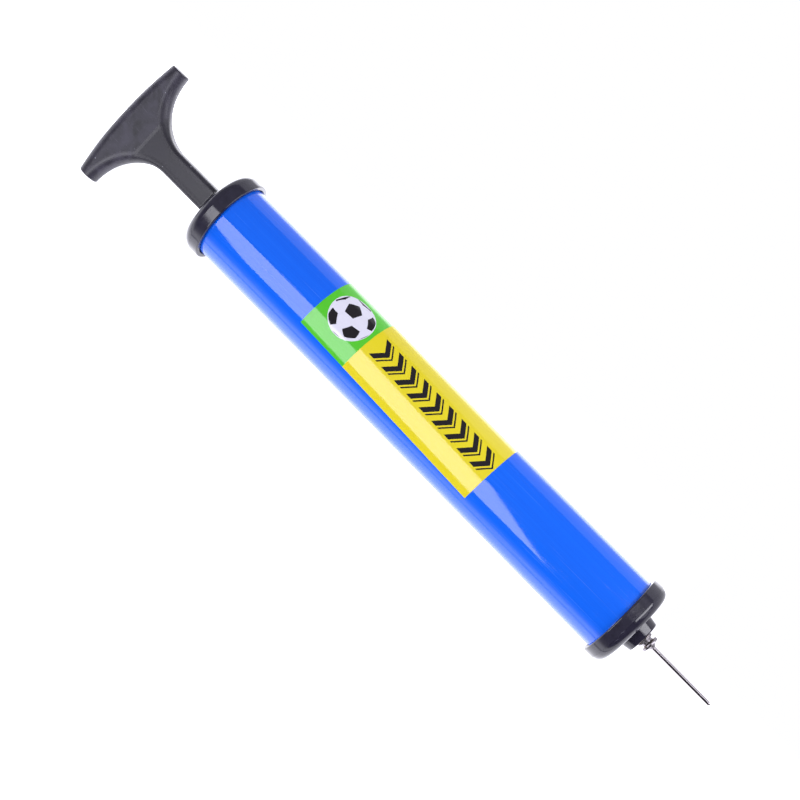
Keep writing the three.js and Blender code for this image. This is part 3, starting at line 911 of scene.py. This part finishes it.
def add_floor():
    """A light table, plain white to the eye. What glows beyond white shows in the pump's reflections: most
    under its +Y half, little close to its -Y side, and more again further out on that side."""
    bpy.ops.mesh.primitive_plane_add(size=FLOOR_SIZE, location=(0, 0, -FLOOR_DROP))
    floor = bpy.context.object
    floor.name = "floor"
    material = bpy.data.materials.new("lit_floor")
    material.use_nodes = True
    tree = material.node_tree
    tree.nodes.clear()
    place = tree.nodes.new("ShaderNodeTexCoord")
    split = tree.nodes.new("ShaderNodeSeparateXYZ")
    tree.links.new(place.outputs["Object"], split.inputs[0])
    glow = tree.nodes.new("ShaderNodeEmission")
    glow.inputs["Color"].default_value = FLOOR_WHITE
    x, y, _ = split.outputs
    along_pump, past_needle = blend(tree, y, FLOOR_GLOW), blend(tree, y, FLOOR_PAST_NEEDLE)
    strength = mix(tree, step(tree, x, 0.12, 0.135), along_pump, past_needle)
    tree.links.new(strength, glow.inputs["Strength"])
    output = tree.nodes.new("ShaderNodeOutputMaterial")
    tree.links.new(glow.outputs[0], output.inputs[0])
    floor.data.materials.append(material)


def add_world():
    """A dim room, bright low down on the -Y side, and darkest above the needle's end."""
    world = bpy.data.worlds.new("studio")
    bpy.context.scene.world = world
    world.use_nodes = True
    tree = world.node_tree
    place = tree.nodes.new("ShaderNodeTexCoord")
    split = tree.nodes.new("ShaderNodeSeparateXYZ")
    tree.links.new(place.outputs["Generated"], split.inputs[0])
    x, y, z = split.outputs
    sky = mix(tree, step(tree, y, -0.25, 0.1), blend(tree, z, SKY_NEAR_SIDE), SKY_FAR_SIDE)
    needle_end = mix(tree, step(tree, z, 0.2, 0.35), sky, SKY_OVER_NEEDLE_END)
    needle_end = mix(tree, step(tree, y, 0.42, 0.55), needle_end, blend(tree, z, SKY_PAST_NEEDLE))
    sky = mix(tree, step(tree, x, 0.06, 0.12), sky, needle_end)
    tree.links.new(sky, tree.nodes["Background"].inputs["Strength"])
    tree.nodes["Background"].inputs["Color"].default_value = LAMP_WHITE + (1.0,)


def add_softbox(name, towards, distance, near, far, left, right, slant, radiance):
    """A rectangular lamp, placed by what a point on the pump sees of it.

    near..far is its spread across the pump, in degrees from straight up towards -Y (towards = -1) or +Y
    (towards = 1), and left..right the stations that it covers at that distance. slant turns it about the
    line to the pump, in degrees, and radiance is how bright its face looks."""
    tilt = math.radians(near + far) / 2 * towards
    out = Vector((0, math.sin(tilt), math.cos(tilt)))
    across_size = 2 * distance * math.tan(math.radians(far - near) / 2)
    light = bpy.data.lights.new(name, "AREA")
    light.shape = "RECTANGLE"
    light.color = LAMP_WHITE
    light.size, light.size_y = (right - left) * MM, across_size * MM
    light.energy = radiance * math.pi * light.size * light.size_y
    lamp = bpy.data.objects.new(name, light)
    turn = Matrix((Vector((1, 0, 0)), out.cross(Vector((1, 0, 0))), out)).transposed().to_4x4()
    place = Vector(((left + right) / 2, 0, AXIS_HEIGHT)) + distance * out
    lamp.matrix_world = Matrix.Translation(place * MM) @ turn @ Matrix.Rotation(math.radians(slant), 4, "Z")
    lamp.visible_camera = False
    bpy.context.scene.collection.objects.link(lamp)


def add_lights():
    add_softbox("main_softbox", towards=-1, distance=1000, near=-4.5, far=41, left=-430, right=55,
                slant=7, radiance=5.4)
    add_softbox("nozzle_softbox", towards=1, distance=500, near=16, far=56, left=174, right=186,
                slant=0, radiance=7.0)
    add_softbox("end_softbox", towards=1, distance=500, near=22, far=84, left=275, right=400,
                slant=0, radiance=6.0)


bpy.context.scene.view_settings.view_transform = "Standard"
add_camera()
add_floor()
add_world()
add_lights()
add_tube()
add_handle_end_cap()
add_needle_end_cap()
add_nozzle()
add_label()
add_handle()
add_rod()
add_nut("piston_rear_nut")
add_nut("piston_front_nut")
add_piston()
add_inner_rings()
add_bush()
add_check_valve()
add_thread_insert()
add_needle_base()
add_needle_tube()
